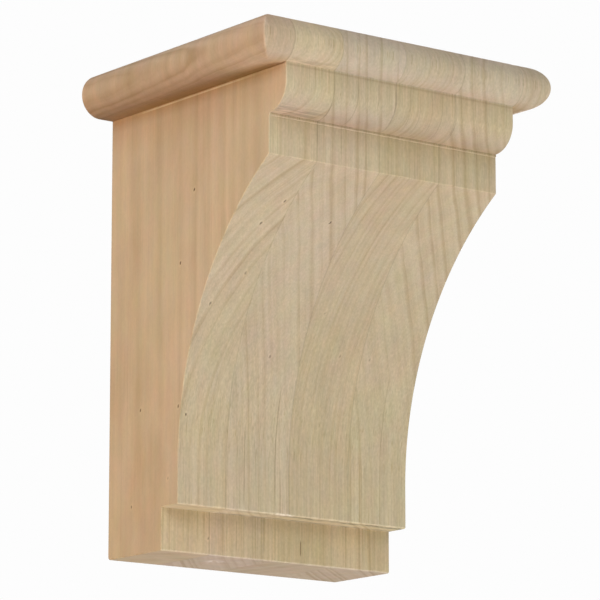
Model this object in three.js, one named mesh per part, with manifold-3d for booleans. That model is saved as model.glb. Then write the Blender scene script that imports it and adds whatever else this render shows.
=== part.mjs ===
import * as THREE from 'three';
import { mergeVertices } from 'three/addons/utils/BufferGeometryUtils.js';
import Module from 'manifold-3d';

// A wooden corbel bracket: one glued-up block of pale hardwood, moulded and sawn to its profile.
// Its flat back is fixed to a wall, and its flat top carries a shelf or a worktop.
// Millimetres, +Z up. The back lies on the plane Y = 0, the front faces -Y, and the origin is
// in the middle of the back, where the corbel meets the wall.

// Widths, from side to side
const bodyWidth = 120;
const capSideOverhang = 16;

// Depths, each one a step further out from the wall
const footDepth = 38.5;
const lipDepth = 11.5;
const curveRun = 62;
const ovoloRadius = 11.5;
const capFrontOverhang = 6.5;

// Heights, from the bottom up; the ovolo's own height is its radius
const footHeight = 18;
const shankHeight = 17.5;
const curveDrop = 118;
const friezeHeight = 17;
const ovoloFaceHeight = 7;
const capThickness = 19;

// Flats along each rounded stretch
const noseSegments = 28;
const ovoloSegments = 14;
const curveSegments = 40;

// Depths from the wall
const shankDepth = footDepth + lipDepth;
const friezeDepth = shankDepth + curveRun;
const bodyDepth = friezeDepth + ovoloRadius;
const capDepth = bodyDepth + capFrontOverhang;

// Levels, with the middle of the overall height at zero
const bodyHeight = footHeight + shankHeight + curveDrop + friezeHeight + ovoloRadius + ovoloFaceHeight;
const overallHeight = bodyHeight + capThickness;
const bottomLevel = -overallHeight / 2;
const lipLevel = bottomLevel + footHeight;
const curveEndLevel = lipLevel + shankHeight;
const friezeBottomLevel = curveEndLevel + curveDrop;
const ovoloBottomLevel = friezeBottomLevel + friezeHeight;
const ovoloTopLevel = ovoloBottomLevel + ovoloRadius;
const capBottomLevel = bottomLevel + bodyHeight;
const capMiddleLevel = capBottomLevel + capThickness / 2;
const topLevel = capBottomLevel + capThickness;

// The nose of the cap is a full half round
const noseRadius = capThickness / 2;
const capWidth = bodyWidth + 2 * capSideOverhang;

// Each moulding run of the cap is made this much too long, and the mitre trims it
const mitreOverrun = noseRadius;

// A profile drawn as (depth from the wall, level), seen from the side, runs across the corbel
function runAcross(profile, length) {
  const geometry = new THREE.ExtrudeGeometry(profile, { depth: length, bevelEnabled: false });
  const towardsFront = new THREE.Vector3(0, -1, 0);
  const upwards = new THREE.Vector3(0, 0, 1);
  const across = new THREE.Vector3(-1, 0, 0);
  geometry.applyMatrix4(new THREE.Matrix4().makeBasis(towardsFront, upwards, across));
  geometry.translate(length / 2, 0, 0);
  return geometry;
}

// A profile drawn as (place across, level), seen from the front, runs out from the wall
function runOutwards(profile, length) {
  const geometry = new THREE.ExtrudeGeometry(profile, { depth: length, bevelEnabled: false });
  const across = new THREE.Vector3(1, 0, 0);
  const upwards = new THREE.Vector3(0, 0, 1);
  const towardsFront = new THREE.Vector3(0, -1, 0);
  geometry.applyMatrix4(new THREE.Matrix4().makeBasis(across, upwards, towardsFront));
  return geometry;
}

// Points of an arc about (middleX, middleY), its two end points included
function arcPoints(middleX, middleY, radius, startAngle, endAngle, segments) {
  const points = [];
  for (let i = 0; i <= segments; i++) {
    const angle = startAngle + (endAngle - startAngle) * (i / segments);
    points.push(new THREE.Vector2(middleX + radius * Math.cos(angle), middleY + radius * Math.sin(angle)));
  }
  return points;
}

// The concave sweep is an arc that ends plumb at the shank, so its run and its drop give its radius
function sweepPoints() {
  const radius = (curveDrop ** 2 + curveRun ** 2) / (2 * curveRun);
  const topAngle = Math.PI - Math.asin(curveDrop / radius);
  return arcPoints(shankDepth + radius, curveEndLevel, radius, Math.PI, topAngle, curveSegments);
}

// Foot, lip, shank, sweep, frieze and ovolo, up into the cap, which the body is one with
function bodyProfile() {
  const ovolo = arcPoints(friezeDepth, ovoloTopLevel, ovoloRadius, -Math.PI / 2, 0, ovoloSegments);
  return new THREE.Shape([
    new THREE.Vector2(0, bottomLevel),
    new THREE.Vector2(footDepth, bottomLevel),
    new THREE.Vector2(footDepth, lipLevel),
    new THREE.Vector2(shankDepth, lipLevel),
    ...sweepPoints(),
    ...ovolo,
    new THREE.Vector2(bodyDepth, capMiddleLevel),
    new THREE.Vector2(0, capMiddleLevel),
  ]);
}

// The cap seen from the side: square at the wall, half round at the front
function capSideProfile() {
  const nose = arcPoints(
    capDepth - noseRadius, capMiddleLevel, noseRadius, -Math.PI / 2, Math.PI / 2, noseSegments,
  );
  return new THREE.Shape([
    new THREE.Vector2(0, capBottomLevel),
    ...nose,
    new THREE.Vector2(0, topLevel),
  ]);
}

// The cap seen from the front: half round at both ends
function capFrontProfile() {
  const noseMiddle = capWidth / 2 - noseRadius;
  const right = arcPoints(noseMiddle, capMiddleLevel, noseRadius, -Math.PI / 2, Math.PI / 2, noseSegments);
  const left = arcPoints(-noseMiddle, capMiddleLevel, noseRadius, Math.PI / 2, 1.5 * Math.PI, noseSegments);
  return new THREE.Shape([...right, ...left]);
}

const wasm = await Module();
wasm.setup();

function solidFrom(geometry) {
  geometry.deleteAttribute('normal');
  geometry.deleteAttribute('uv');
  const merged = mergeVertices(geometry);
  const mesh = new wasm.Mesh({
    numProp: 3,
    vertProperties: new Float32Array(merged.attributes.position.array),
    triVerts: new Uint32Array(merged.index.array),
  });
  return new wasm.Manifold(mesh);
}

function geometryFrom(solid) {
  const mesh = solid.getMesh();
  const geometry = new THREE.BufferGeometry();
  geometry.setAttribute('position', new THREE.BufferAttribute(mesh.vertProperties, 3));
  geometry.setIndex(new THREE.BufferAttribute(mesh.triVerts, 1));
  geometry.computeVertexNormals();
  return geometry;
}

// The half rounds of the sides and of the front meet in mitres at the two front corners
const sideRuns = solidFrom(runOutwards(capFrontProfile(), capDepth + mitreOverrun));
const frontRun = solidFrom(runAcross(capSideProfile(), capWidth + 2 * mitreOverrun));
const cap = sideRuns.intersect(frontRun);
const body = solidFrom(runAcross(bodyProfile(), bodyWidth));

const sandedMaple = new THREE.MeshStandardMaterial({
  color: 0xc8ac80,
  roughness: 0.62,
  metalness: 0,
  flatShading: true,
});

const corbel = new THREE.Mesh(geometryFrom(body.add(cap)), sandedMaple);
corbel.name = 'corbel';

const bracket = new THREE.Group();
bracket.add(corbel);

export default bracket;
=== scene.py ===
import math

import bmesh
import bpy
import numpy as np
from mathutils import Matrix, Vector


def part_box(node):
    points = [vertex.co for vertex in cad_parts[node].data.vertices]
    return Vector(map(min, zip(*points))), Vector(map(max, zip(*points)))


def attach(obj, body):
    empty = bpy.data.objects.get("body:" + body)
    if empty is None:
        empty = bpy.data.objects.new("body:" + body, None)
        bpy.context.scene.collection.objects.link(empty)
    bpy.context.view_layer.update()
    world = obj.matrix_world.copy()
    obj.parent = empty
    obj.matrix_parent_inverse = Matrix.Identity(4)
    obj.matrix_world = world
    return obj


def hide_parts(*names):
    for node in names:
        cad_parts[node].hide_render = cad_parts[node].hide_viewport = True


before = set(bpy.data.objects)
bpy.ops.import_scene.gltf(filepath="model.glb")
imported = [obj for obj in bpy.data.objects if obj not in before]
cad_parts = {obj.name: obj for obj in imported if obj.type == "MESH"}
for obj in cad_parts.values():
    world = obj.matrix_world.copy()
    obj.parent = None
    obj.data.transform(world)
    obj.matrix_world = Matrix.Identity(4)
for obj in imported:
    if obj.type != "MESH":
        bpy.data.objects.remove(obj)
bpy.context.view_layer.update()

# The corbel.
# One block of maple, glued up from upright staves, planed square, sawn and moulded to its profile and
# sanded by hand, so that every arris is slightly eased. Its flat back goes against the wall.
mm = 0.001
low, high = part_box("corbel")
bottom = low.z
top = high.z
cap_half_width = high.x
cap_depth = -low.y
body_half_width = 60 * mm
body_width = 2 * body_half_width

# Depths from the wall, each one a step further out.
foot_depth = 38.5 * mm
lip_proud = 11.5 * mm
sweep_run = 62 * mm
ovolo_radius = 11.5 * mm
shank_depth = foot_depth + lip_proud
frieze_depth = shank_depth + sweep_run
body_depth = frieze_depth + ovolo_radius

# Levels, from the sole up.
foot_height = 18 * mm
shank_height = 17.5 * mm
sweep_drop = 118 * mm
frieze_height = 17 * mm
ovolo_face_height = 7 * mm
lip_level = bottom + foot_height
sweep_end_level = lip_level + shank_height
frieze_bottom_level = sweep_end_level + sweep_drop
ovolo_bottom_level = frieze_bottom_level + frieze_height
cap_bottom_level = ovolo_bottom_level + ovolo_radius + ovolo_face_height
cap_middle_level = (cap_bottom_level + top) / 2

# How far each arris is eased, and how finely the round stretches are divided.
arris = 0.5 * mm
front_arris = 0.7 * mm
back_corner = 1.2 * mm
mitre_arris = 0.8 * mm
arris_steps = 4
sweep_steps = 64
ovolo_steps = 18
nose_steps = 32
column_pitch = 1 * mm


def arc(middle, radius, start, end, steps):
    """Points of an arc about a middle, both of its ends included; angles in radians."""
    points = []
    for step in range(steps + 1):
        angle = start + (end - start) * step / steps
        points.append((middle[0] + radius * math.cos(angle), middle[1] + radius * math.sin(angle)))
    return points


def eased(corners):
    """A closed outline from corners given as (first, second, easing radius), a sharp one with 0.

    Each point comes with the number of the arris it lies inside, or 0 where it lies on a flat.
    """
    outline = []
    arrises = []
    for number, (first, second, radius) in enumerate(corners):
        here = Vector((first, second))
        if radius == 0:
            outline.append(here)
            arrises.append(0)
            continue
        before = (Vector(corners[number - 1][:2]) - here).normalized()
        after = (Vector(corners[(number + 1) % len(corners)][:2]) - here).normalized()
        half = before.angle(after) / 2
        middle = here + (before + after).normalized() * radius / math.sin(half)
        first_spoke = here + before * radius / math.tan(half) - middle
        last_spoke = here + after * radius / math.tan(half) - middle
        turn = first_spoke.angle_signed(last_spoke)
        for step in range(arris_steps + 1):
            angle = -turn * step / arris_steps
            outline.append(middle + Vector((
                first_spoke.x * math.cos(angle) - first_spoke.y * math.sin(angle),
                first_spoke.x * math.sin(angle) + first_spoke.y * math.cos(angle),
            )))
            arrises.append(number + 1 if 0 < step < arris_steps else 0)
    return outline, np.array(arrises)


def drawn_in(outline, amount):
    """The same outline with each point moved into the wood by an amount, one for all or one for each."""
    points = np.array([tuple(point) for point in outline])
    ahead = np.roll(points, -1, axis=0) - points
    ahead /= np.linalg.norm(ahead, axis=1, keepdims=True)
    area = np.sum(points[:, 0] * np.roll(points[:, 1], -1) - np.roll(points[:, 0], -1) * points[:, 1])
    inward = np.stack([-ahead[:, 1], ahead[:, 0]], axis=1) * np.sign(area)
    last_inward = np.roll(inward, 1, axis=0)
    mitre = (inward + last_inward) / (1 + np.sum(inward * last_inward, axis=1, keepdims=True))
    return points + mitre * np.reshape(amount, (-1, 1))


def solid_from_rings(name, rings, places, wear_and_highlight):
    """A closed mesh through rings of points; places turns a ring's points into (x, y, z)."""
    points = [place for ring, at in zip(rings, places) for place in at(ring)]
    count = len(rings[0])
    last = (len(rings) - 1) * count
    faces = [tuple(range(count)), tuple(range(last, last + count))]
    for start in range(0, last, count):
        for number in range(count):
            here = start + number
            beside = start + (number + 1) % count
            faces.append((here, beside, beside + count, here + count))
    mesh = bpy.data.meshes.new(name)
    mesh.from_pydata(points, [], faces)
    mesh.attributes.new("wear_and_highlight_arris", "FLOAT", "POINT").data.foreach_set("value", np.ravel(wear_and_highlight))
    shape = bmesh.new()
    shape.from_mesh(mesh)
    bmesh.ops.recalc_face_normals(shape, faces=shape.faces)
    shape.to_mesh(mesh)
    shape.free()
    piece = bpy.data.objects.new(name, mesh)
    bpy.context.scene.collection.objects.link(piece)
    return piece


sweep_radius = (sweep_drop ** 2 + sweep_run ** 2) / (2 * sweep_run)
sweep_top_angle = math.pi - math.asin(sweep_drop / sweep_radius)
sweep_middle = (shank_depth + sweep_radius, sweep_end_level)
sweep = arc(sweep_middle, sweep_radius, math.pi, sweep_top_angle, sweep_steps)
ovolo_middle = (frieze_depth, ovolo_bottom_level + ovolo_radius)
ovolo = arc(ovolo_middle, ovolo_radius, -math.pi / 2, 0, ovolo_steps)

# The cutter that made the ovolo has left a hair-thin ledge along the top of the frieze.
ledge_step = 0.35 * mm
ledge_rub = 0.15 * mm
ledge_drop = 1.25 * mm
ledge_level = ovolo_bottom_level - ledge_drop

# The sole is divided about every millimetre, so that it can be torn.
sole_steps = int(foot_depth / column_pitch) - 2
body_outline, body_arrises = eased([
    (0, bottom, back_corner),
    *[(foot_depth * step / sole_steps, bottom, 0) for step in range(2, sole_steps - 1)],
    (foot_depth, bottom, front_arris),
    (foot_depth, lip_level, 0),
    (shank_depth, lip_level, front_arris),
    *[(depth, level, 0) for depth, level in sweep[:-1]],
    (frieze_depth, frieze_bottom_level, front_arris),
    (frieze_depth, ledge_level - ledge_rub, 0),
    (frieze_depth, ledge_level, 0),
    (frieze_depth + ledge_step, ledge_level + ledge_step, 0),
    (frieze_depth + ledge_step, ledge_level + ledge_step + ledge_rub, 0),
    (frieze_depth + ledge_step, ovolo_bottom_level, 0),
    *[(depth, level, 0) for depth, level in ovolo[1:]],
    (body_depth, cap_middle_level, 0),
    (0, cap_middle_level, 0),
])

# The body's outline is drawn in once for each column across it. A column is its distance from the
# left side, how far it is drawn in, and whether it lies inside a side's eased arris.
left_columns = []
for step in range(arris_steps, 0, -1):
    angle = math.pi / 2 * step / arris_steps
    left_columns.append((arris * (1 - math.sin(angle)), arris * (1 - math.cos(angle)), step < arris_steps))
middle_places = np.linspace(arris, body_width - arris, round(body_width / column_pitch))
middle_columns = [(across, 0, False) for across in middle_places]
right_columns = [(body_width - across, inset, inside) for across, inset, inside in left_columns[::-1]]
columns = left_columns + middle_columns + right_columns

# Every arris has been dented a little, by hand sanding and by knocks.
dice = np.random.default_rng(7)
dent_depth = 0.3 * mm
dent_contrast = 2.5
dent_threshold = 1.2
dents = dice.random((len(body_arrises) + 1, len(columns)))
dents = (dents + np.roll(dents, 1, axis=1)) / 2
dents = dent_depth * np.clip(dent_contrast * dents - dent_threshold, 0, 1)
dents[0] = 0

# A scrap of wood has torn out of the underside, near the left, and left a shallow pit.
pit_place = (-22.5 * mm, 23.5 * mm)
pit_half_size = (3.5 * mm, 3.0 * mm)
pit_depth = 0.5 * mm
sole_tolerance = 0.1 * mm


def torn(x, depth, level):
    """The level of a point of the underside, raised where the scrap has torn out."""
    if level > bottom + sole_tolerance:
        return level
    away = math.hypot((x - pit_place[0]) / pit_half_size[0], (depth - pit_place[1]) / pit_half_size[1])
    return level + pit_depth * max(1 - away ** 2, 0)


# How pale each arris is made, part wear and part painted highlight: the ledge most, then the front, then
# the sides.
ledge_wear_and_highlight = 1.0
front_wear_and_highlight = 0.45
side_wear_and_highlight = 0.3
on_ledge = [ledge_level <= point.y <= ledge_level + ledge_step for point in body_outline]
# Arris paleness is wear and painted highlight.
outline_wear_and_highlight = np.where(on_ledge, ledge_wear_and_highlight, np.where(body_arrises > 0, front_wear_and_highlight, 0.0))
body_rings = []
body_places = []
body_wear_and_highlight = []
for number, (across, inset, inside) in enumerate(columns):
    body_rings.append(drawn_in(body_outline, inset + dents[body_arrises, number]))
    body_places.append(lambda ring, x=across - body_half_width: [
        (x, -depth, torn(x, depth, level)) for depth, level in ring
    ])
    on_side = number in (0, len(columns) - 1)
    body_wear_and_highlight.append(0 * outline_wear_and_highlight if on_side else np.maximum(outline_wear_and_highlight, side_wear_and_highlight * inside))
body = solid_from_rings("body", body_rings, body_places, body_wear_and_highlight)

# The cap is built up in layers, each one drawn in to follow the half-round nose.
nose_radius = (top - cap_bottom_level) / 2
cap_rings = []
cap_places = []
cap_wear_and_highlight = []
for step in range(nose_steps + 1):
    angle = math.pi * (step / nose_steps - 0.5)
    drawn = nose_radius * (1 - math.cos(angle))
    rise = nose_radius * math.sin(angle)
    into_arris = max(abs(rise) - (nose_radius - arris), 0)
    back = arris - math.sqrt(max(arris ** 2 - into_arris ** 2, 0))
    ring, arrises = eased([
        (-cap_half_width + drawn, back, arris),
        (-cap_half_width + drawn, cap_depth - drawn, mitre_arris),
        (cap_half_width - drawn, cap_depth - drawn, mitre_arris),
        (cap_half_width - drawn, back, arris),
    ])
    cap_rings.append(ring)
    cap_wear_and_highlight.append(side_wear_and_highlight * (arrises > 0))
    cap_places.append(lambda ring, z=cap_middle_level + rise: [(x, -depth, z) for x, depth in ring])
cap = solid_from_rings("cap", cap_rings, cap_places, cap_wear_and_highlight)

join = body.modifiers.new("one with the cap", "BOOLEAN")
join.operation = "UNION"
join.solver = "MANIFOLD"
join.object = cap
joined = bpy.data.meshes.new_from_object(body.evaluated_get(bpy.context.evaluated_depsgraph_get()))
corbel = bpy.data.objects.new("glued_maple_corbel", joined)
bpy.context.scene.collection.objects.link(corbel)
bpy.data.objects.remove(body)
bpy.data.objects.remove(cap)
sharpest_round = math.radians(40)
for face in joined.polygons:
    face.use_smooth = True
joined.set_sharp_from_angle(angle=sharpest_round)
flats_stay_flat = corbel.modifiers.new("flats stay flat", "WEIGHTED_NORMAL")
flats_stay_flat.keep_sharp = True

# Its wood is bare maple, planed and sanded. To the eye it is pale and matt, with fine upright fibres,
# darker year rings and small pith flecks. The staves come from different boards, so the rings change
# direction at each glue line.


def linear(sheet):
    """An sRGB hex colour as linear light, with full cover."""
    channels = []
    for start in (1, 3, 5):
        value = int(sheet[start:start + 2], 16) / 255
        channels.append(value / 12.92 if value <= 0.04045 else ((value + 0.055) / 1.055) ** 2.4)
    return (*channels, 1)


def add(tree, kind, links=None, out=0, stops=None, **settings):
    """Adds a node with its settings, links or values on its inputs, and gives one of its outputs."""
    node = tree.nodes.new(kind)
    for name, value in settings.items():
        setattr(node, name, value)
    for name, value in (links or {}).items():
        if isinstance(value, bpy.types.NodeSocket):
            tree.links.new(value, node.inputs[name])
        else:
            node.inputs[name].default_value = value
    if stops:
        ramp = node.color_ramp
        while len(ramp.elements) > 1:
            ramp.elements.remove(ramp.elements[-1])
        ramp.elements[0].position, ramp.elements[0].color = stops[0]
        for position, colour in stops[1:]:
            ramp.elements.new(position).color = colour
    return node.outputs[out] if node.outputs else node


wood = bpy.data.materials.new("sanded_bare_maple")
wood.use_nodes = True
tree = wood.node_tree
tree.nodes.clear()

# Each stave: its left glue line, how far its rings run sideways for each millimetre towards the
# wall, its tint, and its darkest year rings as (millimetres across the rings, darkness). A tint, here
# and below, multiplies red, green and blue.
staves = [
    {"left": -76.0, "slope": 0.05, "tint": (0.955, 0.893, 0.91), "rings": [
        (-74.0, 0.3), (-71.5, 0.5), (-69.0, 0.3), (-66.0, 0.5), (-62.5, 0.3),
    ]},
    {"left": -60.4, "slope": -0.80, "tint": (1.0, 0.985, 0.98), "rings": [
        (-112.0, 0.3), (-107.6, 0.3), (-102.4, 0.7), (-97.8, 0.3), (-94.0, 0.3), (-88.9, 0.4),
        (-83.2, 0.9), (-78.2, 0.5), (-73.0, 0.4), (-69.0, 0.5), (-65.4, 0.3), (-58.4, 0.5), (-55.5, 0.7),
        (-51.7, 0.4), (-49.2, 0.4), (-44.7, 0.3), (-40.7, 0.5), (-37.0, 0.6), (-34.0, 0.4),
    ]},
    {"left": -35.5, "slope": 0.75, "tint": (0.985, 0.975, 1.01), "rings": [
        (-21.2, 0.6), (-18.2, 0.6), (-16.3, 0.5), (-13.7, 0.4), (-2.2, 0.5), (1.7, 0.3), (5.4, 0.5),
        (10.3, 0.6), (14.3, 0.4), (16.9, 0.4), (20.0, 0.4), (22.4, 0.4), (25.5, 0.3), (31.5, 0.6),
        (36.8, 0.5), (41.2, 0.4), (45.1, 1.0), (50.9, 0.7), (56.1, 0.8), (59.4, 1.1), (65.4, 1.0),
        (72.0, 0.5),
    ]},
    {"left": -3.0, "slope": -0.20, "tint": (0.938, 0.922, 0.897), "rings": [
        (-19.7, 0.5), (-17.8, 0.3), (-15.2, 0.4), (-12.5, 0.2), (-10.7, 0.3), (-8.5, 0.2), (-6.0, 0.2),
        (-3.4, 0.4), (-0.8, 0.3), (3.9, 0.3), (8.4, 0.3), (11.5, 0.3), (13.4, 0.2), (16.7, 0.2),
    ]},
    {"left": 28.5, "slope": 1.00, "tint": (0.97, 0.973, 0.97), "rings": [
        (29.5, 1.2), (32.2, 1.0), (36.3, 1.1), (41.2, 0.8), (43.5, 0.8), (48.7, 0.3), (52.2, 0.2),
        (55.4, 0.6), (59.3, 0.7), (63.0, 0.4), (67.0, 0.3), (72.1, 0.3), (78.8, 0.3), (82.6, 0.7),
        (89.2, 1.1), (94.2, 1.1), (98.7, 1.4), (105.2, 1.3), (109.7, 1.3), (114.2, 1.0), (118.8, 0.7),
        (122.4, 0.3), (125.6, 0.4),
    ]},
    {"left": 60.4, "slope": 0.0, "tint": (0.97, 0.95, 0.93), "rings": [
        (62.0, 0.4), (66.0, 0.6), (70.0, 0.4), (73.0, 0.5),
    ]},
]
block_left = staves[0]["left"]
block_width = -2 * block_left

# The wood is drawn in millimetres of the block, so that its figure runs on round every corner. These
# are the block's own measures again, in those millimetres.
side = body_half_width / mm
sole = bottom / mm
lip = lip_level / mm
cap_underside = cap_bottom_level / mm
block_height = (top - bottom) / mm
block_depth = cap_depth / mm
place = add(tree, "ShaderNodeTexCoord", out="Object")
place = add(tree, "ShaderNodeVectorMath", {"Vector": place, "Scale": 1 / mm}, operation="SCALE")
x = add(tree, "ShaderNodeSeparateXYZ", {0: place})
y = x.node.outputs[1]
z = x.node.outputs[2]

# Every random pattern in the wood: how far it takes to change, in millimetres along X, Y and Z, how
# much finer detail it holds, and a shift that sets like ones apart. Maple's fibres and vessels are
# under a tenth of a millimetre wide, and are drawn about half a millimetre wide so that they show.
patterns = {
    "broad_wander": ((30, 30, 150), 1.0, 0.0),
    "fine_wander": ((7, 7, 40), 2.0, 0.0),
    "ring_strength": ((12, 12, 60), 2.0, 0.0),
    "clouds": ((22, 22, 45), 3.0, 0.0),
    "broad_blotches": ((14, 14, 20), 1.0, 40.0),
    "small_blotches": ((4, 4, 9), 1.0, 40.0),
    "long_fibres": ((0.5, 0.5, 60), 1.0, 0.0),
    "short_fibres": ((0.7, 0.7, 4), 1.0, 3.0),
    "mottle": ((0.9, 0.9, 1.4), 1.0, 7.0),
    "vessels": ((0.55, 0.55, 14), 0.0, 11.0),
    "growth_stripes": ((5, 5, 140), 1.0, 31.0),
    "brown_streaks": ((0.5, 0.5, 60), 0.0, 23.0),
    "fleck_edges": ((1.1, 1.1, 1.1), 1.0, 0.0),
    "lip_line_wander": ((6, 6, 6), 2.0, 61.0),
    "lip_line_breaks": ((3.5, 3.5, 3.5), 1.0, 67.0),
    "torn_waves": ((10, 1.1, 1.1), 1.0, 83.0),
    "fresh_and_highlight_specks": ((2.4, 1.6, 1.6), 2.0, 71.0),
    "rubbing_and_highlight": ((4, 4, 4), 2.0, 5.0),
}
chance = {}
chances = {}
for name, (reach, detail, shift) in patterns.items():
    spot = add(tree, "ShaderNodeVectorMath", {
        0: place, 1: [1 / length for length in reach], 2: (shift, shift, shift),
    }, operation="MULTIPLY_ADD")
    chance[name] = add(tree, "ShaderNodeTexNoise", {"Vector": spot, "Scale": 1.0, "Detail": detail})
    chances[name] = chance[name].node.outputs["Color"]


def toned(colour, value, dark, pale, from_low, from_high):
    """A colour scaled by dark where a value is low and by pale where it is high."""
    share = add(tree, "ShaderNodeMapRange", {
        "Value": value, "From Min": from_low, "From Max": from_high, "To Min": dark, "To Max": pale,
    })
    return add(tree, "ShaderNodeVectorMath", {0: colour, "Scale": share}, operation="SCALE")


def tinted(colour, share, tint):
    """A colour with a tint on it, in full where a share is 1 and not at all where it is 0."""
    film = add(tree, "ShaderNodeMix", {0: share, 6: (1, 1, 1, 1), 7: tint}, out=2, data_type="RGBA")
    return add(tree, "ShaderNodeVectorMath", {0: colour, 1: film}, operation="MULTIPLY")


# The tree grew slightly wavy, so the fibres wander over a few centimetres, and near the wall they
# lean forwards on their way down.
wandering = place
for pattern, span in (("broad_wander", 3.0), ("fine_wander", 0.9)):
    wave = add(tree, "ShaderNodeVectorMath", {
        0: chances[pattern], 1: (0.5, 0.5, 0.5),
    }, operation="SUBTRACT")
    wave = add(tree, "ShaderNodeVectorMath", {0: wave, "Scale": span}, operation="SCALE")
    wandering = add(tree, "ShaderNodeVectorMath", {0: wandering, 1: wave}, operation="ADD")
lean_reach = 62.0
lean_slope = 0.055
near_wall = add(tree, "ShaderNodeMapRange", {"Value": y, "From Min": -lean_reach, "From Max": 0.0})
drop = add(tree, "ShaderNodeMath", {0: cap_underside, 1: z}, operation="SUBTRACT")
lean = add(tree, "ShaderNodeMath", {0: drop, 1: near_wall}, operation="MULTIPLY")
lean = add(tree, "ShaderNodeVectorMath", {0: (0, lean_slope, 0), "Scale": lean}, operation="SCALE")
wandering = add(tree, "ShaderNodeVectorMath", {0: wandering, 1: lean}, operation="ADD")

# Distance across the rings in millimetres, with each stave's rings in its own direction.
turn_stops = []
number_stops = []
tint_stops = []
for number, stave in enumerate(staves):
    length = math.hypot(1, stave["slope"])
    share = (stave["left"] - block_left) / block_width
    turn_stops.append((share, (0.5 + 0.5 / length, 0.5 - 0.5 * stave["slope"] / length, 0.5, 1)))
    number_stops.append((share, (number, number, number, 1)))
    tint_stops.append((share, (*stave["tint"], 1)))
across_share = add(tree, "ShaderNodeMapRange", {
    "Value": x, "From Min": block_left, "From Max": block_left + block_width,
})
turned = add(tree, "ShaderNodeValToRGB", {"Fac": across_share}, stops=turn_stops)
stave_number = add(tree, "ShaderNodeValToRGB", {"Fac": across_share}, stops=number_stops)
stave_tint = add(tree, "ShaderNodeValToRGB", {"Fac": across_share}, stops=tint_stops)
for by_stave in (turned, stave_number, stave_tint):
    by_stave.node.color_ramp.interpolation = "CONSTANT"
turned = add(tree, "ShaderNodeVectorMath", {
    0: turned, 1: (2, 2, 2), 2: (-1, -1, -1),
}, operation="MULTIPLY_ADD")
across_rings = add(tree, "ShaderNodeVectorMath", {
    0: wandering, 1: turned,
}, out="Value", operation="DOT_PRODUCT")

# The darkest year rings, each darkening slowly through one summer and ending at a sharp line. A ramp
# holds few stops, so it takes nine rings at a time.
rings_a_ramp = 9
ring_rise = 1.4
ring_fall = 0.4
after_glow = 0.25
ramp_margin = 3
bold = None
for number, stave in enumerate(staves):
    here = add(tree, "ShaderNodeMath", {0: stave_number, 1: number, 2: 0.2}, operation="COMPARE")
    for start in range(0, len(stave["rings"]), rings_a_ramp):
        some = stave["rings"][start:start + rings_a_ramp]
        first = some[0][0] - ramp_margin
        reach = some[-1][0] + ramp_margin - first
        ring_stops = [(0.0, (0, 0, 0, 1))]
        for ring, darkness in some:
            begins = max((ring - ring_rise - first) / reach, ring_stops[-1][0] + 0.001)
            fades = (ring + ring_fall - first) / reach
            faded = after_glow * darkness
            ring_stops.append((begins, (0, 0, 0, 1)))
            ring_stops.append(((ring - first) / reach, (darkness, darkness, darkness, 1)))
            ring_stops.append((fades, (faded, faded, faded, 1)))
        ring_stops.append((1.0, (0, 0, 0, 1)))
        share = add(tree, "ShaderNodeMapRange", {
            "Value": across_rings, "From Min": first, "From Max": first + reach,
        })
        dark = add(tree, "ShaderNodeValToRGB", {"Fac": share}, stops=ring_stops)
        dark = add(tree, "ShaderNodeMath", {0: dark, 1: here}, operation="MULTIPLY")
        bold = dark if bold is None else add(tree, "ShaderNodeMath", {0: bold, 1: dark}, operation="ADD")

# The fainter rings between them follow the same directions, about two millimetres apart, but come
# and go. Each stave has its own, and they change slowly upwards.
faint_per_mm = 0.55
faint_per_stave = 7.3
faint_upwards = 0.012
faint_darkness = 0.45
spot = add(tree, "ShaderNodeCombineXYZ", {
    0: add(tree, "ShaderNodeMath", {0: across_rings, 1: faint_per_mm}, operation="MULTIPLY"),
    1: add(tree, "ShaderNodeMath", {0: stave_number, 1: faint_per_stave}, operation="MULTIPLY"),
    2: add(tree, "ShaderNodeMath", {0: z, 1: faint_upwards}, operation="MULTIPLY"),
})
faint = add(tree, "ShaderNodeTexNoise", {"Vector": spot, "Scale": 1.0, "Detail": 3.0, "Roughness": 0.62})
faint = add(tree, "ShaderNodeMapRange", {
    "Value": faint, "From Min": 0.42, "From Max": 0.72, "To Min": 0.0, "To Max": faint_darkness,
})

# Rings come and go along the block, and show most where the end grain is cut.
coming = add(tree, "ShaderNodeMapRange", {
    "Value": chance["ring_strength"], "From Min": 0.3, "From Max": 0.7, "To Min": 0.55, "To Max": 1.25,
})
normal = add(tree, "ShaderNodeNewGeometry", out="Normal")
normal_x = add(tree, "ShaderNodeSeparateXYZ", {0: normal})
normal_y = normal_x.node.outputs[1]
normal_z = normal_x.node.outputs[2]
end_grain = add(tree, "ShaderNodeMath", {0: normal_z, 1: normal_z}, operation="MULTIPLY")
side_grain = add(tree, "ShaderNodeMath", {0: normal_x, 1: normal_x}, operation="MULTIPLY")
front_grain = add(tree, "ShaderNodeMath", {0: 1.0, 1: side_grain}, operation="SUBTRACT")
cut_or_side = add(tree, "ShaderNodeMath", {0: side_grain, 1: end_grain}, operation="ADD")
stronger = add(tree, "ShaderNodeMath", {0: cut_or_side, 1: 0.5, 2: 1.0}, operation="MULTIPLY_ADD")
rings = add(tree, "ShaderNodeMath", {0: bold, 1: faint}, operation="ADD")
rings = add(tree, "ShaderNodeMath", {0: rings, 1: coming}, operation="MULTIPLY")
rings = add(tree, "ShaderNodeMath", {0: rings, 1: stronger}, operation="MULTIPLY")
early_wood = linear("#D2C09D")
late_wood = linear("#BEA983")
colour = add(tree, "ShaderNodeMix", {0: rings, 6: early_wood, 7: late_wood}, out=2, data_type="RGBA")
colour = add(tree, "ShaderNodeVectorMath", {0: colour, 1: stave_tint}, operation="MULTIPLY")

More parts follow.
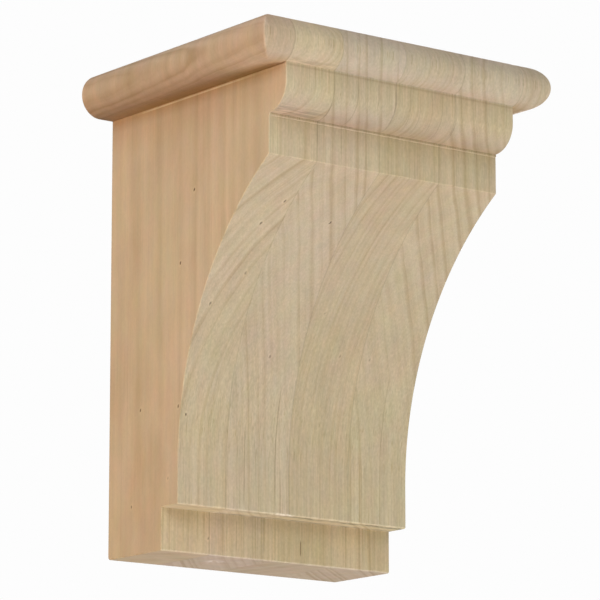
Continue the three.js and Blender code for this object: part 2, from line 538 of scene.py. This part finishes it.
# The rings run nearly along the two sides and come out there as broad upright bands: (depth from
# the wall, tone). The bands fade towards the foot.
bands = [
    (5, 1.0), (10, 1.04), (17, 0.945), (24, 1.04), (35.5, 0.925), (40, 1.04), (50, 0.93), (56, 1.04),
    (61.7, 0.89), (64.5, 1.045), (71, 0.94), (74, 1.04), (82, 0.94), (84, 1.035), (88, 0.945),
    (91.6, 1.04), (96.5, 0.92), (99.7, 1.04), (103.5, 0.925), (110, 1.03),
]
deepest = 125.0
depth_share = add(tree, "ShaderNodeSeparateXYZ", {0: wandering}, out=1)
depth_share = add(tree, "ShaderNodeMath", {0: depth_share, 1: -1 / deepest}, operation="MULTIPLY")
band = add(tree, "ShaderNodeValToRGB", {"Fac": depth_share}, stops=[
    (depth / deepest, (tone, tone, tone ** 1.3, 1)) for depth, tone in bands
])
fading = add(tree, "ShaderNodeMapRange", {
    "Value": z, "From Min": -90.0, "From Max": 10.0, "To Min": 0.35, "To Max": 1.0,
})
fading = add(tree, "ShaderNodeMath", {0: fading, 1: side_grain}, operation="MULTIPLY")
colour = tinted(colour, fading, band)

# Broad clouds of pinker and of greener wood, with small blotches of every tint in them.
green_cloud = (0.985, 1.0, 0.98, 1)
pink_cloud = (1.015, 0.997, 1.008, 1)
cloud_tint = add(tree, "ShaderNodeValToRGB", {"Fac": chance["clouds"]}, stops=[
    (0.35, green_cloud), (0.65, pink_cloud),
])
colour = add(tree, "ShaderNodeVectorMath", {0: colour, 1: cloud_tint}, operation="MULTIPLY")
blotch_channels = (1.0, 0.7, 1.2)
for pattern, strength in (("small_blotches", 0.10), ("broad_blotches", 0.08)):
    blotch = add(tree, "ShaderNodeVectorMath", {
        0: chances[pattern], 1: [strength * channel for channel in blotch_channels],
        2: [1 - strength * channel / 2 for channel in blotch_channels],
    }, operation="MULTIPLY_ADD")
    colour = add(tree, "ShaderNodeVectorMath", {0: colour, 1: blotch}, operation="MULTIPLY")

# The grain: upright fibres, shorter ones between them, a fine mottle and the vessels. Where the wood
# is cut across, and on the two sides, which were sanded finer, they show less.
grain = None
for pattern, dark, pale, from_low, from_high in (
    ("long_fibres", 0.94, 1.05, 0.3, 0.7),
    ("short_fibres", 0.965, 1.03, 0.3, 0.7),
    ("mottle", 0.95, 1.05, 0.3, 0.7),
    ("vessels", 0.95, 1.0, 0.22, 0.36),
):
    tone = add(tree, "ShaderNodeMapRange", {
        "Value": chance[pattern], "From Min": from_low, "From Max": from_high, "To Min": dark,
        "To Max": pale,
    })
    grain = tone if grain is None else add(tree, "ShaderNodeMath", {
        0: grain, 1: tone,
    }, operation="MULTIPLY")
finer = add(tree, "ShaderNodeMath", {0: cut_or_side, 1: 0.6}, operation="MULTIPLY")
grain = add(tree, "ShaderNodeMix", {0: finer, 2: grain, 3: 1.0}, data_type="FLOAT")
colour = add(tree, "ShaderNodeVectorMath", {0: colour, "Scale": grain}, operation="SCALE")
colour = toned(colour, chance["growth_stripes"], 0.955, 1.035, 0.3, 0.7)

# Brown streaks, only where the surface follows the fibres, and fewer on the sides.
streak_tint = (0.80, 0.76, 0.66, 1)
streak = add(tree, "ShaderNodeMapRange", {
    "Value": chance["brown_streaks"], "From Min": 0.22, "From Max": 0.33, "To Min": 1.0, "To Max": 0.0,
})
along_fibres = add(tree, "ShaderNodeMapRange", {
    "Value": end_grain, "From Min": 0.0, "From Max": 0.08, "To Min": 1.0, "To Max": 0.0,
})
unsanded = add(tree, "ShaderNodeMath", {0: side_grain, 1: -0.7, 2: 1.0}, operation="MULTIPLY_ADD")
streak = add(tree, "ShaderNodeMath", {0: streak, 1: along_fibres}, operation="MULTIPLY")
streak = add(tree, "ShaderNodeMath", {0: streak, 1: unsanded}, operation="MULTIPLY")
colour = tinted(colour, streak, streak_tint)

# Pith flecks: small dark scars with a paler rim. They are given on the left side as (depth, level),
# on the sweep as (across, way down it from the frieze) and on the foot as (across, level), each with
# its darkness. They lean a little and are uneven.
side_flecks = [
    (60.5, 44, 1.0), (51, 14.5, 1.0), (23, -43.5, 1.0), (50, -45.5, 0.9), (43, -74.5, 0.4),
    (17, -83.5, 0.8),
]
sweep_flecks = [
    (-39, 22, 0.9), (-45, 34, 0.9), (-12, 28.5, 1.0), (-42.5, 57, 0.5), (-55, 72, 0.7), (-19, 90.5, 0.6),
    (3.5, 69, 0.35), (17, 86, 0.4), (33, 86, 0.4), (-57, 119, 1.0),
]
foot_flecks = [(-36, -97, 0.5)]
fleck_size = (0.62, 0.62, 1.0)
fleck_lean = 0.3
fleck_core = 0.25
fleck_edge = 1.05
rim_paleness = 1.09
fleck_places = [((-side, -depth, level), darkness) for depth, level, darkness in side_flecks]
for across, way_down, darkness in sweep_flecks:
    turn = math.pi - sweep_top_angle - way_down * mm / sweep_radius
    depth = (shank_depth + sweep_radius * (1 - math.cos(turn))) / mm
    level = (sweep_end_level + sweep_radius * math.sin(turn)) / mm
    fleck_places.append(((across, -depth, level), darkness))
for across, level, darkness in foot_flecks:
    fleck_places.append(((across, -foot_depth / mm, level), darkness))
uneven = add(tree, "ShaderNodeVectorMath", {
    0: chances["fleck_edges"], 1: (1.0, 1.0, 1.0), 2: (-0.5, -0.5, -0.5),
}, operation="MULTIPLY_ADD")
uneven = add(tree, "ShaderNodeVectorMath", {0: place, 1: uneven}, operation="ADD")
leaning = add(tree, "ShaderNodeVectorMath", {0: (-fleck_lean, fleck_lean, 0), "Scale": z}, operation="SCALE")
uneven = add(tree, "ShaderNodeVectorMath", {0: uneven, 1: leaning}, operation="ADD")
nearest = None
flecks = None
for (fleck_x, fleck_y, fleck_z), darkness in fleck_places:
    at = (fleck_x - fleck_lean * fleck_z, fleck_y + fleck_lean * fleck_z, fleck_z)
    gap = add(tree, "ShaderNodeVectorMath", {0: uneven, 1: at}, operation="SUBTRACT")
    gap = add(tree, "ShaderNodeVectorMath", {0: gap, 1: fleck_size}, operation="DIVIDE")
    gap = add(tree, "ShaderNodeVectorMath", {0: gap}, out="Value", operation="LENGTH")
    dark = add(tree, "ShaderNodeMapRange", {
        "Value": gap, "From Min": fleck_core, "From Max": fleck_edge, "To Min": darkness, "To Max": 0.0,
    })
    flecks = dark if flecks is None else add(tree, "ShaderNodeMath", {
        0: flecks, 1: dark,
    }, operation="MAXIMUM")
    nearest = gap if nearest is None else add(tree, "ShaderNodeMath", {
        0: nearest, 1: gap,
    }, operation="MINIMUM")
colour = toned(colour, nearest, rim_paleness, 1.0, 1.2, 2.4)
scar_brown = linear("#503C24")
scar_cover = 0.95
fleck_share = add(tree, "ShaderNodeMath", {0: flecks, 1: scar_cover}, operation="MULTIPLY")
colour = add(tree, "ShaderNodeMix", {0: fleck_share, 6: colour, 7: scar_brown}, out=2, data_type="RGBA")

# Glue lines, under half a millimetre wide, hardly darker than the wood.
glue_tone = 0.86
for stave in staves[1:]:
    gap = add(tree, "ShaderNodeMath", {0: x, 1: stave["left"]}, operation="SUBTRACT")
    gap = add(tree, "ShaderNodeMath", {0: gap}, operation="ABSOLUTE")
    colour = toned(colour, gap, glue_tone, 1.0, 0.1, 0.35)

# Dark hairlines in the front, where a ring comes to the surface edge-on: (across, from level, to
# level, darkness).
hairlines = [
    (-35.6, -104, -62, 0.12), (-26.2, -86, -48, 0.32), (-10.2, -86, -30, 0.35), (-7.4, -104, -66, 0.25),
    (-21.5, -104, -86, 0.25), (12.0, -101, -93.5, 0.65), (45.5, -60, -20, 0.2), (29.2, 50, 85, 0.2),
    (-35.3, 52, 85, 0.2), (-12.3, 72, 85, 0.25), (-23.0, 50, 85, 0.2), (-3.4, 66, 85, 0.3),
    (4.6, 66, 85, 0.15), (9.8, 66, 85, 0.15), (16.2, 66, 85, 0.15), (21.4, 66, 85, 0.2),
]
hair_half_width = 0.25
hair_tint = (0.2, 0.1, 0.0, 1)
hair = None
for across, from_level, to_level, darkness in hairlines:
    gap = add(tree, "ShaderNodeMath", {0: x, 1: across, 2: hair_half_width}, operation="COMPARE")
    middle = (from_level + to_level) / 2
    half = (to_level - from_level) / 2
    away = add(tree, "ShaderNodeMath", {0: z, 1: middle}, operation="SUBTRACT")
    away = add(tree, "ShaderNodeMath", {0: away}, operation="ABSOLUTE")
    shown = add(tree, "ShaderNodeMapRange", {
        "Value": away, "From Min": 0.6 * half, "From Max": half, "To Min": darkness, "To Max": 0.0,
    })
    line = add(tree, "ShaderNodeMath", {0: gap, 1: shown}, operation="MULTIPLY")
    hair = line if hair is None else add(tree, "ShaderNodeMath", {0: hair, 1: line}, operation="MAXIMUM")
hair = add(tree, "ShaderNodeMath", {0: hair, 1: front_grain}, operation="MULTIPLY")
colour = tinted(colour, hair, hair_tint)

# Two wavy dark lines run along the underside of the lip, mostly on the right: the one near the inside
# corner is painted shade, the one behind the front arris is where the saw has torn the grain: (depth from
# the wall, from where across, darkness).
lip_lines = [(47.6, -8.0, 0.42), (39.8, -34.0, 0.48)]
lip_tint = (1.08, 1.13, 1.08, 1)
line_wander = 3.6
line_fades_over = 12
on_lip = add(tree, "ShaderNodeMath", {0: z, 1: lip, 2: 1.0}, operation="COMPARE")
on_lip = add(tree, "ShaderNodeMath", {0: on_lip, 1: end_grain}, operation="MULTIPLY")
colour = tinted(colour, on_lip, lip_tint)
wavy = add(tree, "ShaderNodeMath", {
    0: chance["lip_line_wander"], 1: line_wander, 2: -line_wander / 2,
}, operation="MULTIPLY_ADD")
wavy = add(tree, "ShaderNodeMath", {0: y, 1: wavy}, operation="ADD")
broken = add(tree, "ShaderNodeMapRange", {
    "Value": chance["lip_line_breaks"], "From Min": 0.35, "From Max": 0.6, "To Min": 0.35, "To Max": 1.0,
})
for depth, from_across, darkness in lip_lines:
    gap = add(tree, "ShaderNodeMath", {0: wavy, 1: depth}, operation="ADD")
    gap = add(tree, "ShaderNodeMath", {0: gap}, operation="ABSOLUTE")
    line = add(tree, "ShaderNodeMapRange", {
        "Value": gap, "From Min": 0.2, "From Max": 1.9, "To Min": 1.0, "To Max": 0.0,
    })
    shown = add(tree, "ShaderNodeMapRange", {
        "Value": x, "From Min": from_across, "From Max": from_across + line_fades_over, "To Min": 0.25,
        "To Max": 1.0,
    })
    for mask in (broken, shown, on_lip):
        line = add(tree, "ShaderNodeMath", {0: line, 1: mask}, operation="MULTIPLY")
    # Painted shade near the lip's inside corner, torn grain behind its front arris.
    colour = toned(colour, line, 1.0, darkness, 0.0, 1.0)

# On the left stave the cutter has torn the undersides of the ovolo and of the cap into short waves.
waves = add(tree, "ShaderNodeMapRange", {
    "Value": chance["torn_waves"], "From Min": 0.40, "From Max": 0.60, "To Min": 0.80, "To Max": 1.10,
})
on_left_stave = add(tree, "ShaderNodeMapRange", {
    "Value": x, "From Min": -40.0, "From Max": -33.0, "To Min": 1.0, "To Max": 0.0,
})
torn_here = add(tree, "ShaderNodeMapRange", {"Value": end_grain, "From Min": 0.52, "From Max": 0.8})
past_frieze = add(tree, "ShaderNodeMath", {0: y, 1: -frieze_depth / mm}, operation="LESS_THAN")
inside_body = add(tree, "ShaderNodeMath", {0: x, 1: 1 - side}, operation="GREATER_THAN")
below_middle = add(tree, "ShaderNodeMath", {0: z, 1: cap_middle_level / mm}, operation="LESS_THAN")
for mask in (on_left_stave, past_frieze, inside_body, below_middle):
    torn_here = add(tree, "ShaderNodeMath", {0: torn_here, 1: mask}, operation="MULTIPLY")
waves = add(tree, "ShaderNodeMix", {0: torn_here, 2: 1.0, 3: waves}, data_type="FLOAT")
colour = add(tree, "ShaderNodeVectorMath", {0: colour, "Scale": waves}, operation="SCALE")

# Where a scrap has torn out of the underside, the fresh wood is nearly white; on the lip's arris near the
# middle the same white specks are painted highlight: (middle, half size).
fresh_wood_and_highlight_places = [((-22, -24, sole), (5.5, 4.5, 2)), ((-7, -50, lip), (11, 1.8, 1.0))]
fresh_wood_and_highlight_white = linear("#F2E6CC")
specks = add(tree, "ShaderNodeMapRange", {
    "Value": chance["fresh_and_highlight_specks"], "From Min": 0.40, "From Max": 0.66,
})
for middle, half_size in fresh_wood_and_highlight_places:
    gap = add(tree, "ShaderNodeVectorMath", {0: place, 1: middle}, operation="SUBTRACT")
    gap = add(tree, "ShaderNodeVectorMath", {0: gap, 1: half_size}, operation="DIVIDE")
    gap = add(tree, "ShaderNodeVectorMath", {0: gap}, out="Value", operation="LENGTH")
    fresh_and_highlit = add(tree, "ShaderNodeMapRange", {
        "Value": gap, "From Min": 0.4, "From Max": 1.0, "To Min": 1.0, "To Max": 0.0,
    })
    fresh_and_highlit = add(tree, "ShaderNodeMath", {0: fresh_and_highlit, 1: specks}, operation="MULTIPLY")
    # Fresh white wood at the pit, painted highlight on the lip's arris.
    colour = add(tree, "ShaderNodeMix", {0: fresh_and_highlit, 6: colour, 7: fresh_wood_and_highlight_white}, out=2, data_type="RGBA")

# Painted shading by level: (level, tint). On the sides, painted light brightens the wood from the foot up
# to the ovolo's levels and in a thin strip just under the cap, with a little painted shade between them.
# On the front, painted shade darkens the hollow of the sweep, the wood below and above the ovolo's lower
# edge, and the ovolo just under the cap. Cut end grain is pinker and deeper.
side_shading_levels = [
    (-50, (1.11, 1.18, 1.18, 1)), (10, (1.10, 1.17, 1.17, 1)), (40, (1.07, 1.12, 1.11, 1)),
    (66, (1.05, 1.09, 1.07, 1)), (77, (1.01, 0.98, 0.94, 1)), (81, (1.03, 1.03, 1.01, 1)),
    (84.4, (1.18, 1.24, 1.30, 1)), (85, (1, 1, 1, 1)),
]
front_shading_levels = [
    (-86, (1.0, 1.005, 1.0, 1)), (-55, (0.98, 0.985, 0.98, 1)), (-30, (0.955, 0.955, 0.955, 1)),
    (-10, (0.93, 0.925, 0.93, 1)), (10, (0.93, 0.93, 0.935, 1)), (34, (0.95, 0.955, 0.96, 1)),
    (48, (1, 1, 1, 1)), (55, (1, 1, 1, 1)), (66, (0.91, 0.88, 0.83, 1)), (67, (0.87, 0.85, 0.89, 1)),
    (70, (0.92, 0.91, 0.93, 1)), (74, (1, 1, 1, 1)), (78, (1, 0.99, 0.98, 1)),
    (83.7, (0.95, 0.93, 0.91, 1)), (84.4, (0.76, 0.72, 0.68, 1)), (85, (1, 1, 1, 1)),
]
front_from = -44.0
end_tint = (0.99, 0.935, 0.985, 1)
level_share = add(tree, "ShaderNodeMapRange", {
    "Value": z, "From Min": sole, "From Max": sole + block_height,
})
side_painted_shading = add(tree, "ShaderNodeValToRGB", {"Fac": level_share}, stops=[
    ((level - sole) / block_height, tint) for level, tint in side_shading_levels
])
front_painted_shading = add(tree, "ShaderNodeValToRGB", {"Fac": level_share}, stops=[
    ((level - sole) / block_height, tint) for level, tint in front_shading_levels
])
in_front = add(tree, "ShaderNodeMath", {0: y, 1: front_from}, operation="LESS_THAN")
on_front = add(tree, "ShaderNodeMath", {0: in_front, 1: front_grain}, operation="MULTIPLY")
# Painted shade on the front: the hollow of the sweep, the ovolo's lower edge and just under the cap.
colour = tinted(colour, on_front, front_painted_shading)
# Painted light and shade on the sides, by level.
colour = tinted(colour, side_grain, side_painted_shading)
colour = tinted(colour, end_grain, end_tint)

# The middle and right staves are greyer where the cap and the underside show their end grain, and
# the foot has stayed a little browner than the rest. The back shows neither.
grey_tint = (0.99, 1.01, 1.11, 1)
foot_tint = (1.02, 0.985, 0.932, 1)
skin = 0.05
edge_blur = 0.4
off_back = add(tree, "ShaderNodeMath", {0: normal_y, 1: 0.5}, operation="LESS_THAN")
past_left_stave = add(tree, "ShaderNodeMath", {0: x, 1: staves[2]["left"]}, operation="GREATER_THAN")
above = add(tree, "ShaderNodeMath", {0: z, 1: cap_underside - skin}, operation="GREATER_THAN")
below = add(tree, "ShaderNodeMath", {0: z, 1: sole + edge_blur}, operation="LESS_THAN")
grey = add(tree, "ShaderNodeMath", {0: above, 1: below}, operation="ADD")
on_foot = add(tree, "ShaderNodeMapRange", {
    "Value": z, "From Min": lip - edge_blur, "From Max": lip + edge_blur, "To Min": 1.0,
    "To Max": 0.0,
})
for mask in (past_left_stave, off_back):
    grey = add(tree, "ShaderNodeMath", {0: grey, 1: mask}, operation="MULTIPLY")
for mask in (front_grain, along_fibres, off_back):
    on_foot = add(tree, "ShaderNodeMath", {0: on_foot, 1: mask}, operation="MULTIPLY")
colour = tinted(colour, grey, grey_tint)
colour = tinted(colour, on_foot, foot_tint)

# Painted shade: the wood is darker brown in the long corners under the cap's side overhangs, most at the
# corner: (share of the way out from the side, share of the way from front to back, how much).
overhang_shade_tint = (0.80, 0.665, 0.34, 1)
overhang_shade_width = 9.0
overhang_shade_height = 2.5
overhang_shade_outwards = [(0.0, 1.0), (0.12, 0.8), (0.5, 0.55), (1.0, 0.0)]
overhang_shade_along = [(0.03, 0.5), (0.12, 1.0), (0.75, 1.0), (1.0, 0.35)]
from_middle = add(tree, "ShaderNodeMath", {0: x}, operation="ABSOLUTE")
out_share = add(tree, "ShaderNodeMapRange", {
    "Value": from_middle, "From Min": side, "From Max": side + overhang_shade_width,
})
overhang_shade = add(tree, "ShaderNodeValToRGB", {"Fac": out_share}, stops=[
    (share, (much, much, much, 1)) for share, much in overhang_shade_outwards
])
along_share = add(tree, "ShaderNodeMapRange", {"Value": y, "From Min": -block_depth, "From Max": 0.0})
overhang_shade_along_ramp = add(tree, "ShaderNodeValToRGB", {"Fac": along_share}, stops=[
    (share, (much, much, much, 1)) for share, much in overhang_shade_along
])
under_cap = add(tree, "ShaderNodeMapRange", {
    "Value": z, "From Min": cap_underside, "From Max": cap_underside + overhang_shade_height, "To Min": 1.0,
    "To Max": 0.0,
})
outside = add(tree, "ShaderNodeMath", {0: from_middle, 1: side + skin}, operation="GREATER_THAN")
for mask in (under_cap, overhang_shade_along_ramp, outside):
    overhang_shade = add(tree, "ShaderNodeMath", {0: overhang_shade, 1: mask}, operation="MULTIPLY")
# Painted shade in the corners under the side overhangs.
colour = tinted(colour, overhang_shade, overhang_shade_tint)

# A painted highlight: a thin pale line on the sides just below the cap, strongest along the middle:
# (share of the way from front to back, how much).
highlight_line_tint = (1.4, 1.7, 2.1, 1)
highlight_line_level = 84.3
highlight_line_along = [(0.2, 0.15), (0.38, 1.0), (0.75, 1.0), (0.85, 0.1)]
gap = add(tree, "ShaderNodeMath", {0: z, 1: highlight_line_level}, operation="SUBTRACT")
gap = add(tree, "ShaderNodeMath", {0: gap}, operation="ABSOLUTE")
line = add(tree, "ShaderNodeMapRange", {
    "Value": gap, "From Min": 0.1, "From Max": 0.5, "To Min": 1.0, "To Max": 0.0,
})
middle_stretch = add(tree, "ShaderNodeValToRGB", {"Fac": along_share}, stops=[
    (share, (much, much, much, 1)) for share, much in highlight_line_along
])
for mask in (side_grain, middle_stretch):
    line = add(tree, "ShaderNodeMath", {0: line, 1: mask}, operation="MULTIPLY")
# Painted highlight along the sides just below the cap.
colour = tinted(colour, line, highlight_line_tint)

# The eased arrises are paler, part rubbed and part painted highlight, in some places more than in others.
wear_and_highlight_paleness = 1.32
wear_and_highlight = add(tree, "ShaderNodeAttribute", out="Fac", attribute_name="wear_and_highlight_arris")
rubbed_and_lit = add(tree, "ShaderNodeMapRange", {
    "Value": chance["rubbing_and_highlight"], "From Min": 0.35, "From Max": 0.62, "To Min": 0.25, "To Max": 1.0,
})
wear_and_highlight = add(tree, "ShaderNodeMath", {0: wear_and_highlight, 1: rubbed_and_lit}, operation="MULTIPLY")
# Paler arrises: wear and painted highlight.
colour = toned(colour, wear_and_highlight, 1.0, wear_and_highlight_paleness, 0.0, 1.0)

# Bare sanded wood scatters nearly all of the light, and its fibres stand up a little.
sanded_roughness = 0.62
wood_ior = 1.5
fibre_height = 0.15 * mm
bump = add(tree, "ShaderNodeBump", {"Height": grain, "Strength": 0.4, "Distance": fibre_height})
surface = add(tree, "ShaderNodeBsdfPrincipled", {
    "Base Color": colour, "Roughness": sanded_roughness, "IOR": wood_ior, "Normal": bump,
})
add(tree, "ShaderNodeOutputMaterial", {"Surface": surface})
corbel.data.materials.clear()
corbel.data.materials.append(wood)

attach(corbel, "root")
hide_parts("corbel")

# The floor.
# A plain pale studio floor of matt paper, well below the corbel, which hangs at the height of a wall.
# It throws soft light up under the foot, the ovolo and the cap, and looks evenly pale itself.
paper_white = linear("#EEECE8")
paper_roughness = 0.8
floor_level = -2.2
floor_half = 15.0
floor_corners = [(-1, -1), (1, -1), (1, 1), (-1, 1)]
floor_mesh = bpy.data.meshes.new("studio_floor")
floor_mesh.from_pydata(
    [(across * floor_half, along * floor_half, floor_level) for across, along in floor_corners],
    [], [(0, 1, 2, 3)],
)
floor = bpy.data.objects.new("studio_floor", floor_mesh)
bpy.context.scene.collection.objects.link(floor)
paper = bpy.data.materials.new("pale_matt_paper")
paper.use_nodes = True
floor_tree = paper.node_tree
floor_tree.nodes.clear()
matt = add(floor_tree, "ShaderNodeBsdfPrincipled", {
    "Base Color": paper_white, "Roughness": paper_roughness,
})
glow = add(floor_tree, "ShaderNodeEmission", {"Color": paper_white, "Strength": 1.0})
looked_at = add(floor_tree, "ShaderNodeLightPath", out="Is Camera Ray")
even = add(floor_tree, "ShaderNodeMixShader", {0: looked_at, 1: matt, 2: glow})
add(floor_tree, "ShaderNodeOutputMaterial", {"Surface": even})
floor_mesh.materials.append(paper)

# The studio light.
# A white tent lights everything a little, and six soft boxes do the rest. The largest stands low in
# front and lights the hollow sweep and the undersides, a warm one lights the left side, a cool one the
# left end of the cap, two the front and the top, and one behind the back and the right side.
tent_light = 0.22
world = bpy.data.worlds.new("white_tent")
world.use_nodes = True
world_tree = world.node_tree
world_tree.nodes.clear()
tent = add(world_tree, "ShaderNodeBackground", {"Color": linear("#FFFFFF"), "Strength": tent_light})
seen = add(world_tree, "ShaderNodeBackground", {"Color": linear("#FDFDFD"), "Strength": 1.0})
camera_ray = add(world_tree, "ShaderNodeLightPath", out="Is Camera Ray")
both = add(world_tree, "ShaderNodeMixShader", {0: camera_ray, 1: tent, 2: seen})
add(world_tree, "ShaderNodeOutputWorld", {"Surface": both})
bpy.context.scene.world = world

# Each soft box: its colour, its power in watts, its side in metres and where it stands. All are
# turned to the middle of the corbel.
soft_boxes = {
    "low_right_soft_box": ("#FFFFFF", 17.4, 0.70, (0.46, -0.80, -1.34)),
    "front_left_soft_box": ("#FFFFFF", 3.0, 0.50, (-0.36, -1.00, 0.38)),
    "cool_left_front_soft_box": ("#E6F0FF", 3.4, 0.40, (-0.90, -0.42, 0.45)),
    "warm_left_soft_box": ("#FFC790", 4.4, 0.40, (-1.07, 0.19, -0.19)),
    "top_front_soft_box": ("#FFFFFF", 1.2, 0.40, (0.15, -0.75, 0.95)),
    "back_right_soft_box": ("#FFFFFF", 9.0, 0.60, (0.80, 0.70, 0.35)),
}
lit_place = Vector((0, -0.06, 0))
for name, (sheet, power, size, stand) in soft_boxes.items():
    light = bpy.data.lights.new(name, "AREA")
    light.shape = "SQUARE"
    light.size = size
    light.energy = power
    light.color = linear(sheet)[:3]
    soft_box = bpy.data.objects.new(name, light)
    soft_box.location = stand
    soft_box.rotation_euler = (lit_place - Vector(stand)).to_track_quat("-Z", "Y").to_euler()
    soft_box.visible_camera = False
    bpy.context.scene.collection.objects.link(soft_box)

bpy.context.scene.view_settings.view_transform = "Standard"
bpy.context.scene.view_settings.look = "None"

# The camera.
# A long lens, from the front left and below, as one looks up at a corbel on a wall.
looks_up = 11.58
turned_right = 37.32
camera_data = bpy.data.cameras.new("camera")
camera_data.sensor_width = 36
camera_data.lens = 229.73
camera_data.clip_start = 0.1
camera_data.clip_end = 60
camera = bpy.data.objects.new("camera", camera_data)
camera.location = (-0.96068, -1.31409, -0.31883)
camera.rotation_euler = (math.radians(90 + looks_up), 0, math.radians(-turned_right))
bpy.context.scene.collection.objects.link(camera)
bpy.context.scene.camera = camera
